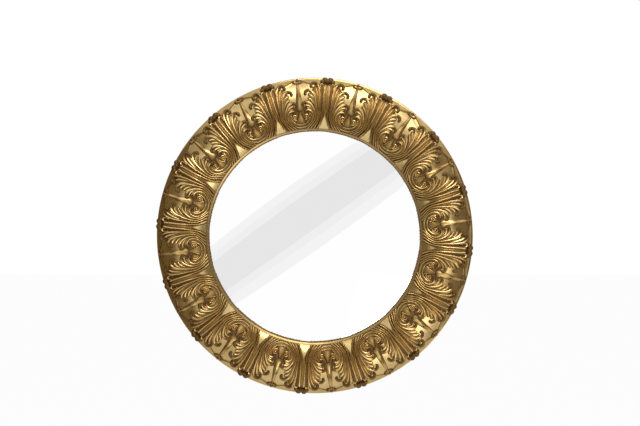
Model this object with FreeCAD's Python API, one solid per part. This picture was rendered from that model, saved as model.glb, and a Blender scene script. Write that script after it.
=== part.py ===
"""Round convex wall mirror in a gilded acanthus moulding, in millimetres.

The mirror faces -Y and hangs upright, with +Z up. The origin is the centre of the back, in the plane
of the moulding's flat wall side, so "depth" below is the distance in front of that plane, along -Y.

A turned ring carries the cast ornament: sixteen acanthus leaves, whose stems spring from the sight
edge, and a ridged dart between each pair of leaves. Behind its lip sit a felt strip, the domed glass,
a set of packing blocks and the backing board, which six turn buttons hold. Two strap hangers carry
D-rings for a wall hook each, and two rubber pads keep the lower edge off the wall.
"""

import FreeCAD
import Part
import math
import os

# ---- overall sizes ----
OVERALL_DIAMETER = 760.0
SIGHT_DIAMETER = 505.0
LEAF_COUNT = 16
FIRST_LEAF_ANGLE = 85.1  # degrees anticlockwise from the right-hand side, seen from the front

# ---- turned ring ----
RIM_SETBACK = 3.0  # between the widest lobes and the ring's rim
CREST_DEPTH = 44.0
CREST_SHARE = 0.40  # the crest's place across the carved face, from the sight edge
LIP_THICKNESS = 2.5
SIGHT_BEVEL_WIDTH = 5.0
SIGHT_BEVEL_RISE = 7.0
RIM_DEPTH = 12.0
RIM_EASING = 3.0
INNER_FLATS = 3  # the turned face is made of flats that follow its two arcs
OUTER_FLATS = 4
REBATE_WIDTH = 9.5
REBATE_DEPTH = 16.0

# ---- ornament ----
BASE_LIFT = 1.2  # the flat facets of a casting's back clear the curved moulding between their corners
WEB_THICKNESS = 1.4

# ---- glass and what holds it ----
GLASS_THICKNESS = 3.0
GLASS_RISE = 28.0
GLASS_EDGE_PLAY = 2.0
FELT_THICKNESS = 1.0
FELT_WIDTH = 4.5
FELT_SETBACK = 1.5
SEAT_CLEARANCE = 0.1
BOARD_THICKNESS = 6.0
BOARD_EDGE_PLAY = 1.0
PACKING_WIDTH = 14.0
PACKING_LENGTH = 45.0
PACKING_COUNT = 12

# ---- turn buttons ----
BUTTON_COUNT = 6
BUTTON_WIDTH = 14.0
BUTTON_THICKNESS = 1.6
BUTTON_OVERLAP = 14.0
BUTTON_PIVOT_SETBACK = 12.0
BUTTON_CORNER = 3.0
BUTTON_LIFT = 0.3

# ---- screws ----
SMALL_SIDES = 10  # round bars as thin as a screw or a wire have this many sides
SCREW_RADIUS = 1.75
SCREW_HEAD_RADIUS = 3.75
SCREW_HEAD_HEIGHT = 2.2
SCREW_LENGTH = 16.0
SCREW_CLEARANCE = 0.25
PILOT_CLEARANCE = 0.05
PILOT_SPARE = 2.0
HEAD_CLEARANCE = 0.1

# ---- strap hangers and their D-rings ----
HANGER_ANGLE = 35.0
HANGER_SETBACK = 59.0  # between the rim and the circle that the hangers' wires touch
WIRE_RADIUS = 1.5
WIRE_PLAY = 0.1
STRAP_SHEET = 0.8
STRAP_WIDTH = 14.0
STRAP_LENGTH = 35.0
STRAP_SCREW_OFFSETS = (9.0, 26.0)
RING_HALF_WIDTH = 10.0  # between the wire's centre line and the middle of the D-ring
RING_SHOULDER = 6.0
RING_BOW_STEPS = 8
RING_LEAN = 2.0  # degrees that the raised D-ring leans in towards the moulding

# ---- wall pads ----
PAD_RADIUS = 7.0
PAD_THICKNESS = 6.0
PAD_ANGLE = -55.0
PAD_SETBACK = 47.0

# ---- sizes worked out from those above ----
SIGHT_RADIUS = SIGHT_DIAMETER / 2
RIM_RADIUS = OVERALL_DIAMETER / 2 - RIM_SETBACK
CARVED_RADIUS = SIGHT_RADIUS + SIGHT_BEVEL_WIDTH
FACE_RADIUS = RIM_RADIUS - RIM_EASING
CARVED_WIDTH = FACE_RADIUS - CARVED_RADIUS
CREST_RADIUS = CARVED_RADIUS + CREST_SHARE * CARVED_WIDTH
BEVEL_TOP = REBATE_DEPTH + LIP_THICKNESS + SIGHT_BEVEL_RISE
REBATE_RADIUS = SIGHT_RADIUS + REBATE_WIDTH
HANGER_RADIUS = RIM_RADIUS - HANGER_SETBACK
PAD_CIRCLE_RADIUS = RIM_RADIUS - PAD_SETBACK
PITCH_ANGLE = 360.0 / LEAF_COUNT
PITCH_RADIUS = (CARVED_RADIUS + FACE_RADIUS) / 2
PITCH = math.radians(PITCH_ANGLE) * PITCH_RADIUS
GLASS_RADIUS = REBATE_RADIUS - GLASS_EDGE_PLAY
GLASS_SPHERE = (GLASS_RADIUS ** 2 + GLASS_RISE ** 2) / (2 * GLASS_RISE)
FELT_RADIUS = SIGHT_RADIUS + FELT_SETBACK
BARREL_RADIUS = WIRE_RADIUS + WIRE_PLAY
WIRE_HEIGHT = BARREL_RADIUS + STRAP_SHEET

CENTRE = FreeCAD.Vector(0, 0, 0)
FRONT_TO_BACK = FreeCAD.Vector(0, 1, 0)
SIDEWAYS = FreeCAD.Vector(1, 0, 0)


# ---- helpers ----
def section_point(radius, depth):
    return FreeCAD.Vector(radius, -depth, 0)


def polyline(points):
    return [Part.LineSegment(a, b).toShape() for a, b in zip(points, points[1:])]


def revolve(edges):
    wire = Part.Wire(Part.__sortEdges__(edges))
    return Part.makeSolid(Part.Face(wire).revolve(CENTRE, FRONT_TO_BACK, 360))


def rod(radius, start, end):
    way = end - start
    return Part.makeCylinder(radius, way.Length, start, way)


def turned(shape, degrees):
    """A copy turned anticlockwise about the mirror's axis, seen from the front."""
    copy = shape.copy()
    copy.rotate(CENTRE, FRONT_TO_BACK, -degrees)
    return copy


def polar(degrees, radius, y=0.0):
    angle = math.radians(degrees)
    return FreeCAD.Vector(radius * math.cos(angle), y, radius * math.sin(angle))


def faceted_solid(facets):
    """A solid from the corner points of its flat facets."""
    faces = [Part.Face(Part.makePolygon(list(corners) + [corners[0]])) for corners in facets]
    shell = Part.makeShell(faces)
    shell.sewShape()
    solid = Part.makeSolid(shell)
    return solid if solid.Volume > 0 else solid.reversed()


def export(name, shapes):
    solids = [solid for shape in shapes for solid in shape.Solids]
    whole = solids[0] if len(solids) == 1 else Part.makeCompound(solids)
    whole.exportStep(os.path.join("parts", name + ".step"))


# ---- the turned face: two arcs that meet level at the crest ----
def crest_arc(run, rise):
    return (run * run + rise * rise) / (2 * rise)


INNER_ARC = crest_arc(CREST_RADIUS - CARVED_RADIUS, CREST_DEPTH - BEVEL_TOP)
OUTER_ARC = crest_arc(FACE_RADIUS - CREST_RADIUS, CREST_DEPTH - RIM_DEPTH)


def arc_at(radius):
    return INNER_ARC if radius < CREST_RADIUS else OUTER_ARC


def face_depth(radius):
    arc = arc_at(radius)
    return CREST_DEPTH - arc + math.sqrt(arc ** 2 - (radius - CREST_RADIUS) ** 2)


def off_face(radius, lift):
    """Radius and depth of a point that stands off the turned face by the lift."""
    lean = (radius - CREST_RADIUS) / arc_at(radius)
    return radius + lift * lean, face_depth(radius) + lift * math.sqrt(1 - lean * lean)


def turned_body():
    inner = [CARVED_RADIUS + (CREST_RADIUS - CARVED_RADIUS) * k / INNER_FLATS for k in range(INNER_FLATS)]
    outer = [CREST_RADIUS + (FACE_RADIUS - CREST_RADIUS) * k / OUTER_FLATS for k in range(OUTER_FLATS + 1)]
    corners = [section_point(radius, face_depth(radius)) for radius in inner + outer]
    corners += [
        section_point(RIM_RADIUS, RIM_DEPTH - RIM_EASING),
        section_point(RIM_RADIUS, 0),
        section_point(REBATE_RADIUS, 0),
        section_point(REBATE_RADIUS, REBATE_DEPTH),
        section_point(SIGHT_RADIUS, REBATE_DEPTH),
        section_point(SIGHT_RADIUS, REBATE_DEPTH + LIP_THICKNESS),
    ]
    return revolve(polyline(corners + corners[:1]))


# ---- ornament: strands drawn flat, then laid on the moulding ----
# A strand's points are (share of the pitch from the leaf's middle, share of the carved width from the
# sight edge), from its foot to its tip, and then come its heights in millimetres at the foot, at the
# fullest part and at the tip. The strands stand in their order across half of a leaf.
STRANDS = (
    (((0.125, 0.00), (0.060, 0.13), (0.028, 0.33), (0.036, 0.65), (0.058, 1.00)), (3.4, 6.8, 8.0)),
    (((0.200, 0.00), (0.110, 0.13), (0.070, 0.33), (0.110, 0.66), (0.235, 0.90)), (3.4, 6.6, 4.4)),
    (((0.300, 0.00), (0.165, 0.12), (0.112, 0.33), (0.195, 0.58), (0.385, 0.71)), (3.4, 6.6, 4.4)),
    (((0.385, 0.00), (0.235, 0.10), (0.160, 0.28), (0.235, 0.45), (0.410, 0.49)), (3.4, 6.0, 4.0)),
    (((0.475, 0.03), (0.320, 0.09), (0.225, 0.21), (0.265, 0.33), (0.385, 0.33)), (3.2, 5.2, 3.8)),
)
STRAND_STEPS = 5
FULLEST_SHARE = 0.8
NOTCH_SHARE = 0.78  # the notch between two lobes lies this far along their strands
EDGE_WIDTH = 3.2  # from the last strand's ridge to the leaf's edge

# Each station up a dart: share of the carved width, half width and height of its ridge. The first
# three shape the tongue at its foot and the rest the blade.
DART_STATIONS = (
    (0.13, 8.5, 3.2), (0.20, 7.5, 4.4), (0.29, 3.8, 3.8), (0.36, 8.6, 6.2),
    (0.54, 6.2, 6.4), (0.75, 3.4, 6.0), (0.96, 1.0, 4.6),
)


def laid_on_face(across, up, lift):
    """A flat drawing's point, in millimetres, laid on the moulding with the leaf's middle at the top."""
    angle = across / PITCH_RADIUS
    reach, depth = off_face(CARVED_RADIUS + up, lift)
    return FreeCAD.Vector(reach * math.sin(angle), -depth, reach * math.cos(angle))


def height_at(heights, share):
    foot, full, tip = heights
    if share < FULLEST_SHARE:
        return foot + (full - foot) * share / FULLEST_SHARE
    return full + (tip - full) * (share - FULLEST_SHARE) / (1 - FULLEST_SHARE)


def strand_curve(points, side):
    curve = Part.BSplineCurve()
    curve.interpolate([FreeCAD.Vector(side * a * PITCH, v * CARVED_WIDTH, 0) for a, v in points])
    return curve


def station(curve, share):
    return curve.parameterAtDistance(share * curve.length(), curve.FirstParameter)


def leaf_row(curves, heights, share):
    """The ridge points and the valley points across a leaf, at a share of its strands' length."""
    ridges = []
    for curve, strand_heights in zip(curves, heights):
        point = curve.value(station(curve, share))
        ridges.append(laid_on_face(point.x, point.y, height_at(strand_heights, share)))
    behind = share * (1 - (1 - NOTCH_SHARE) * share)
    places = [curve.value(station(curve, behind)) for curve in curves]
    valleys = [(a + b) * 0.5 for a, b in zip(places, places[1:])]
    for curve, side in ((curves[0], 1), (curves[-1], -1)):
        parameter = station(curve, share)
        way = curve.tangent(parameter)[0]
        edge = curve.value(parameter) + FreeCAD.Vector(-way.y, way.x, 0) * (side * EDGE_WIDTH)
        valleys.insert(0 if side > 0 else len(valleys), edge)
    return ridges, valleys


def woven_facets(rows):
    """Facets of a leaf from its rows of (ridge points, valley points, base points)."""
    facets = []
    for (ridges, valleys, bases), (far_ridges, far_valleys, far_bases) in zip(rows, rows[1:]):
        for j, (ridge, far_ridge) in enumerate(zip(ridges, far_ridges)):
            for near, far in ((valleys[j], far_valleys[j]), (valleys[j + 1], far_valleys[j + 1])):
                facets += [(near, ridge, far_ridge), (near, far_ridge, far)]
            facets += [(bases[j], bases[j + 1], far_bases[j + 1]), (bases[j], far_bases[j + 1], far_bases[j])]
        for j in (0, -1):
            facets += [(valleys[j], far_valleys[j], far_bases[j]), (valleys[j], far_bases[j], bases[j])]
    for ridges, valleys, bases in (rows[0], rows[-1]):
        for j, ridge in enumerate(ridges):
            facets += [(valleys[j], ridge, bases[j]), (ridge, bases[j + 1], bases[j]),
                       (ridge, valleys[j + 1], bases[j + 1])]
    return facets


def acanthus_leaf():
    curves = [strand_curve(points, -1) for points, _ in reversed(STRANDS)]
    curves += [strand_curve(points, 1) for points, _ in STRANDS]
    half_heights = [strand_heights for _, strand_heights in STRANDS]
    heights = half_heights[::-1] + half_heights
    rows = []
    for k in range(STRAND_STEPS + 1):
        ridges, valleys = leaf_row(curves, heights, k / STRAND_STEPS)
        tops = [laid_on_face(p.x, p.y, BASE_LIFT + WEB_THICKNESS) for p in valleys]
        rows.append((ridges, tops, [laid_on_face(p.x, p.y, BASE_LIFT) for p in valleys]))
    return faceted_solid(woven_facets(rows))


def dart_leaf():
    rows = []
    for share, half_width, height in DART_STATIONS:
        up = share * CARVED_WIDTH
        edges = (-half_width, half_width)
        tops = [laid_on_face(x, up, BASE_LIFT + WEB_THICKNESS) for x in edges]
        rows.append(([laid_on_face(0, up, height)], tops, [laid_on_face(x, up, BASE_LIFT) for x in edges]))
    return faceted_solid(woven_facets(rows))


def around(shape, first_angle):
    """Copies of a shape drawn at the top, one to each leaf's pitch."""
    return [turned(shape, first_angle - 90 + PITCH_ANGLE * i) for i in range(LEAF_COUNT)]


# ---- glass and what holds it ----
def glass_depth(radius, behind=0.0):
    """Depth of the glass's face, or of the surface the given distance behind it."""
    felt_face = REBATE_DEPTH - FELT_THICKNESS
    centre_depth = felt_face - math.sqrt(GLASS_SPHERE ** 2 - FELT_RADIUS ** 2)
    return centre_depth + math.sqrt((GLASS_SPHERE - behind) ** 2 - radius ** 2)


def convex_glass():
    """A spherical shell trimmed to a disc, with its two faces on one centre."""
    centre = section_point(0, glass_depth(0) - GLASS_SPHERE)
    cap = Part.makeSphere(GLASS_SPHERE, centre).cut(Part.makeSphere(GLASS_SPHERE - GLASS_THICKNESS, centre))
    return cap.common(rod(GLASS_RADIUS, CENTRE, section_point(0, OVERALL_DIAMETER)))


def glazing_strip():
    outer = FELT_RADIUS + FELT_WIDTH
    lip_side = REBATE_DEPTH - SEAT_CLEARANCE
    corners = [section_point(r, glass_depth(r, -SEAT_CLEARANCE)) for r in (outer, FELT_RADIUS)]
    corners += [section_point(r, lip_side) for r in (FELT_RADIUS, outer)]
    return revolve(polyline(corners + corners[:1]))


def packing_block():
    """A wedge at the right-hand side that fills from the board to the glass's sloping back."""
    outer = GLASS_RADIUS - 1.0
    inner = outer - PACKING_WIDTH
    behind = GLASS_THICKNESS + SEAT_CLEARANCE
    board_side = BOARD_THICKNESS + SEAT_CLEARANCE
    corners = [section_point(r, board_side) for r in (inner, outer)]
    for radius in (outer, inner):
        corners.append(section_point(radius, glass_depth(math.hypot(radius, PACKING_LENGTH / 2), behind)))
    wedge = Part.Face(Part.Wire(polyline(corners + corners[:1])))
    wedge.translate(FreeCAD.Vector(0, 0, -PACKING_LENGTH / 2))
    return wedge.extrude(FreeCAD.Vector(0, 0, PACKING_LENGTH))


def backing_board():
    return rod(REBATE_RADIUS - BOARD_EDGE_PLAY, CENTRE, section_point(0, BOARD_THICKNESS))


# ---- screws, turn buttons, hangers and pads ----
def peg(radius, base, length):
    """A small round bar along the mirror's axis, from its base, with a many-sided outline."""
    turns = [2 * math.pi * (k + 0.5) / SMALL_SIDES for k in range(SMALL_SIDES)]
    corners = [base + FreeCAD.Vector(radius * math.cos(t), 0, radius * math.sin(t)) for t in turns]
    return Part.Face(Part.Wire(polyline(corners + corners[:1]))).extrude(FRONT_TO_BACK * length)


def screw(head_seat):
    """A flat-headed screw that points into the moulding from under its head."""
    head = peg(SCREW_HEAD_RADIUS, head_seat, SCREW_HEAD_HEIGHT)
    return peg(SCREW_RADIUS, head_seat, -SCREW_LENGTH).fuse(head)


def button_pivot(index, y=0.0):
    return polar(360.0 / BUTTON_COUNT * index, REBATE_RADIUS + BUTTON_PIVOT_SETBACK, y)


def turn_button():
    """A button at the right-hand side, with its nose over the board and its tail behind the pivot."""
    pivot = REBATE_RADIUS + BUTTON_PIVOT_SETBACK
    nose = REBATE_RADIUS - BOARD_EDGE_PLAY - BUTTON_OVERLAP
    tail = pivot + BUTTON_WIDTH / 2
    half = BUTTON_WIDTH / 2
    outline = [(nose, half - BUTTON_CORNER), (nose + BUTTON_CORNER, half), (tail - BUTTON_CORNER, half),
               (tail, half - BUTTON_CORNER)]
    outline += [(x, -z) for x, z in reversed(outline)]
    corners = [FreeCAD.Vector(x, BUTTON_LIFT, z) for x, z in outline]
    plate = Part.Face(Part.Wire(polyline(corners + corners[:1]))).extrude(FRONT_TO_BACK * BUTTON_THICKNESS)
    return plate.cut(peg(SCREW_RADIUS + SCREW_CLEARANCE, FreeCAD.Vector(pivot, 0, 0), 2 * BUTTON_THICKNESS))


def button_screw_seat():
    return BUTTON_LIFT + BUTTON_THICKNESS + HEAD_CLEARANCE


def hanger_axis(side):
    point = polar(HANGER_ANGLE, HANGER_RADIUS, WIRE_HEIGHT)
    return FreeCAD.Vector(side * point.x, point.y, point.z)


def hanger_screw_points(side, y):
    axis = hanger_axis(side)
    return [FreeCAD.Vector(axis.x, y, axis.z - offset) for offset in STRAP_SCREW_OFFSETS]


def hanger_strap(side):
    """A strap folded double round the D-ring's wire, with its two layers closed flat below."""
    axis = hanger_axis(side)
    half = SIDEWAYS * (STRAP_WIDTH / 2)
    corner = FreeCAD.Vector(axis.x - STRAP_WIDTH / 2, 0, axis.z - STRAP_LENGTH)
    flat = Part.makeBox(STRAP_WIDTH, 2 * STRAP_SHEET, STRAP_LENGTH, corner)
    strap = flat.fuse(rod(BARREL_RADIUS + STRAP_SHEET, axis - half, axis + half)).removeSplitter()
    hole_radius = SCREW_RADIUS + SCREW_CLEARANCE
    holes = [peg(hole_radius, point, 4 * STRAP_SHEET) for point in hanger_screw_points(side, -STRAP_SHEET)]
    return strap.cut([rod(BARREL_RADIUS, axis - half * 2, axis + half * 2)] + holes)


def hanger_ring(side):
    """The D-ring raised for hanging, leaning a little towards the moulding, with a many-sided wire."""
    axis = hanger_axis(side)
    bow = [(RING_HALF_WIDTH * math.cos(math.pi * k / RING_BOW_STEPS),
            RING_SHOULDER + RING_HALF_WIDTH * math.sin(math.pi * k / RING_BOW_STEPS))
           for k in range(RING_BOW_STEPS + 1)]
    path = [(-RING_HALF_WIDTH, 0), (RING_HALF_WIDTH, 0)] + bow
    rings = []
    for k, (x, z) in enumerate(path):
        before = FreeCAD.Vector(x - path[k - 1][0], 0, z - path[k - 1][1]).normalize()
        after = path[(k + 1) % len(path)]
        after = FreeCAD.Vector(after[0] - x, 0, after[1] - z).normalize()
        outward = FreeCAD.Vector(before.z, 0, -before.x) + FreeCAD.Vector(after.z, 0, -after.x)
        mitre = outward * (2 / outward.Length ** 2)
        centre = axis + FreeCAD.Vector(x, 0, z)
        turns = [2 * math.pi * (n + 0.5) / SMALL_SIDES for n in range(SMALL_SIDES)]
        spokes = [mitre * math.cos(t) + FRONT_TO_BACK * math.sin(t) for t in turns]
        rings.append([centre + spoke * WIRE_RADIUS for spoke in spokes])
    facets = []
    for near, far in zip(rings, rings[1:] + rings[:1]):
        facets += [(near[n - 1], near[n], far[n], far[n - 1]) for n in range(SMALL_SIDES)]
    ring = faceted_solid(facets)
    ring.rotate(axis, SIDEWAYS, RING_LEAN)
    return ring


def wall_pad(side):
    centre = polar(PAD_ANGLE, PAD_CIRCLE_RADIUS)
    base = FreeCAD.Vector(side * centre.x, 0, centre.z)
    return rod(PAD_RADIUS, base, base + FreeCAD.Vector(0, PAD_THICKNESS, 0))


def frame_ring():
    starts = [button_pivot(i) for i in range(BUTTON_COUNT)]
    starts += hanger_screw_points(1, 0) + hanger_screw_points(-1, 0)
    pilots = [peg(SCREW_RADIUS + PILOT_CLEARANCE, start, -(SCREW_LENGTH + PILOT_SPARE)) for start in starts]
    return turned_body().cut(pilots)


def main():
    os.makedirs("parts", exist_ok=True)
    hanger_seat = 2 * STRAP_SHEET + HEAD_CLEARANCE
    block = packing_block()
    button = turn_button()
    export("frame_ring", [frame_ring()])
    export("acanthus_leaves", around(acanthus_leaf(), FIRST_LEAF_ANGLE))
    export("dart_leaves", around(dart_leaf(), FIRST_LEAF_ANGLE + PITCH_ANGLE / 2))
    export("convex_glass", [convex_glass()])
    export("glazing_strip", [glazing_strip()])
    export("packing_blocks", [turned(block, 360.0 / PACKING_COUNT * (i + 0.5)) for i in range(PACKING_COUNT)])
    export("backing_board", [backing_board()])
    for i in range(BUTTON_COUNT):
        export("turn_button_%d" % (i + 1), [turned(button, 360.0 / BUTTON_COUNT * i)])
    export("turn_button_screws", [screw(button_pivot(i, button_screw_seat())) for i in range(BUTTON_COUNT)])
    for name, side in (("right", 1), ("left", -1)):
        export(name + "_hanger_strap", [hanger_strap(side)])
        export(name + "_hanger_ring", [hanger_ring(side)])
    export("hanger_screws", [screw(p) for side in (1, -1) for p in hanger_screw_points(side, hanger_seat)])
    export("wall_pads", [wall_pad(1), wall_pad(-1)])


main()
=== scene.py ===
import math

import bmesh
import bpy
import numpy as np
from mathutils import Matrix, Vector


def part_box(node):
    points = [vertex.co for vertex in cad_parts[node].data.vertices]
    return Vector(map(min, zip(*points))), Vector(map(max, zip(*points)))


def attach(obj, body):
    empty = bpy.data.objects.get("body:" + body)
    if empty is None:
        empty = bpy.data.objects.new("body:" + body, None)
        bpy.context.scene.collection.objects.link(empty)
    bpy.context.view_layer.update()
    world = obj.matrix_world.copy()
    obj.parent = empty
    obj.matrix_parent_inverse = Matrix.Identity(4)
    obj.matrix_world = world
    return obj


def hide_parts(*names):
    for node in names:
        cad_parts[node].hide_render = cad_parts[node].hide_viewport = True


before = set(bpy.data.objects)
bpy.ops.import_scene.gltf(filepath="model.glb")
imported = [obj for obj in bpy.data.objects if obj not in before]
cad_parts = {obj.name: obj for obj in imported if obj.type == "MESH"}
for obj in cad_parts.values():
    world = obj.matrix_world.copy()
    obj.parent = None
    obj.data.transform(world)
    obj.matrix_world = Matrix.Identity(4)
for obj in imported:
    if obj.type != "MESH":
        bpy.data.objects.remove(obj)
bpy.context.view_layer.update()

# ---- sizes, in millimetres, drawn as the frame's pieces are ----
MM = 0.001
LEAF_COUNT = 16
FIRST_LEAF_ANGLE = 85.1
PITCH_ANGLE = 360.0 / LEAF_COUNT
ring_low, ring_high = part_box("frame_ring")
RIM_RADIUS = ring_high[0] / MM
CREST_DEPTH = -ring_low[1] / MM
SIGHT_RADIUS = 252.5
BEVEL_WIDTH = 5.0
REBATE_DEPTH = 16.0
LIP_TOP = REBATE_DEPTH + 2.5
BEVEL_TOP = LIP_TOP + 7.0
REBATE_RADIUS = SIGHT_RADIUS + 9.5
RIM_EASING = 3.0
RIM_DEPTH = 12.0
CARVED_RADIUS = SIGHT_RADIUS + BEVEL_WIDTH
FACE_RADIUS = RIM_RADIUS - RIM_EASING
CARVED_WIDTH = FACE_RADIUS - CARVED_RADIUS
CREST_RADIUS = CARVED_RADIUS + 0.40 * CARVED_WIDTH
PITCH_RADIUS = (CARVED_RADIUS + FACE_RADIUS) / 2
PITCH = math.radians(PITCH_ANGLE) * PITCH_RADIUS
LEAF_REACH = 379.2  # the farthest from the axis that the carving may stand
LEAF_DEPTH = 49.4  # and the farthest from the back
RIM_OVERHANG = 1.5
STEEPEST = 0.95


def crest_arc(run, rise):
    """The radius of an arc that is level at its highest point and falls by rise over run."""
    return (run * run + rise * rise) / (2 * rise)


INNER_ARC = crest_arc(CREST_RADIUS - CARVED_RADIUS, CREST_DEPTH - BEVEL_TOP)
OUTER_ARC = crest_arc(FACE_RADIUS - CREST_RADIUS, CREST_DEPTH - RIM_DEPTH)


def lean_at(radius):
    """Sine of the turned face's tilt away from the front."""
    arc = INNER_ARC if radius < CREST_RADIUS else OUTER_ARC
    return max(-STEEPEST, min(STEEPEST, (radius - CREST_RADIUS) / arc))


def face_depth(radius):
    """How far the turned face stands in front of the back."""
    arc = INNER_ARC if radius < CREST_RADIUS else OUTER_ARC
    return CREST_DEPTH - arc + math.sqrt(max(0.0, arc ** 2 - (radius - CREST_RADIUS) ** 2))


def at_angle(across, reach, depth):
    """A point near the mirror's top, in metres: across the pitch, from the axis, from the back."""
    angle = across / PITCH_RADIUS
    return (reach * math.sin(angle) * MM, -depth * MM, reach * math.cos(angle) * MM)


def laid_on_face(across, up, lift):
    """A template point laid on the moulding, lifted square to its face."""
    radius = max(CARVED_RADIUS + 0.1, min(CARVED_RADIUS + up, FACE_RADIUS + RIM_OVERHANG))
    lean = lean_at(radius)
    reach = max(CARVED_RADIUS - 0.3, min(radius + lift * lean, LEAF_REACH))
    depth = min(face_depth(radius) + lift * math.sqrt(1 - lean * lean), LEAF_DEPTH)
    return at_angle(across, reach, depth)


def seated(up, lift):
    """Where a carved point stands on the face, so that its lifted top shows at up from the front."""
    seat = up
    for _ in range(3):
        seat = up - lift * lean_at(min(CARVED_RADIUS + seat, FACE_RADIUS))
    return seat


# ---- meshes ----
CURVE_STEPS = 16


def piece_from(name, verts, faces, rubbed_and_lit, smooth_angle):
    """A piece from its mesh, with how bright each point is painted: from 0, a recess full of brown
    toning and painted shade, to 1, a bright rubbed edge; or None.
    """
    mesh = bpy.data.meshes.new(name)
    mesh.from_pydata(verts, [], faces)
    mesh.validate()
    if rubbed_and_lit is not None:
        layer = mesh.attributes.new("rubbed_and_lit", "FLOAT", "POINT")
        layer.data.foreach_set("value", np.asarray(rubbed_and_lit, dtype=np.float32))
    tool = bmesh.new()
    tool.from_mesh(mesh)
    bmesh.ops.recalc_face_normals(tool, faces=tool.faces)
    tool.to_mesh(mesh)
    tool.free()
    mesh.shade_smooth()
    mesh.set_sharp_from_angle(angle=math.radians(smooth_angle))
    piece = bpy.data.objects.new(name, mesh)
    bpy.context.scene.collection.objects.link(piece)
    return piece


def woven(start, count, wide, closed=False):
    """Faces between count rows of points that run round to their first; closed rows do so too."""
    faces = []
    for k in range(count if closed else count - 1):
        a, b = start + k * wide, start + (k + 1) % count * wide
        faces += [(a + j, a + (j + 1) % wide, b + (j + 1) % wide, b + j) for j in range(wide)]
    return faces


def capped(start, count, wide):
    """Faces that close the first row and the last."""
    last = start + (count - 1) * wide
    return [tuple(start + j for j in reversed(range(wide))), tuple(last + j for j in range(wide))]


def smooth_path(points, count):
    """Evenly spaced stations along a smooth curve through a template's points."""
    pts = np.array(points, dtype=float)
    ends = np.vstack([2 * pts[0] - pts[1], pts, 2 * pts[-1] - pts[-2]])
    fine = []
    for k in range(1, len(ends) - 2):
        a, b, c, d = ends[k - 1:k + 3]
        for t in np.linspace(0, 1, CURVE_STEPS, endpoint=False):
            fine.append(0.5 * (2 * b + (c - a) * t + (2 * a - 5 * b + 4 * c - d) * t * t
                               + (3 * b - a - 3 * c + d) * t ** 3))
    fine.append(pts[-1])
    fine = np.array(fine)
    run = np.concatenate([[0], np.cumsum(np.linalg.norm(np.diff(fine, axis=0), axis=1))])
    marks = np.linspace(0, run[-1], count)
    stations = np.column_stack([np.interp(marks, run, fine[:, axis]) for axis in (0, 1)])
    return stations, run[-1]


def profile_values(stops, share):
    xs, ys = zip(*stops)
    return float(np.interp(share, xs, ys))


BURIED = 1.0
FOOT_SHARE = 0.55
LOW_END = 0.35


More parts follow.
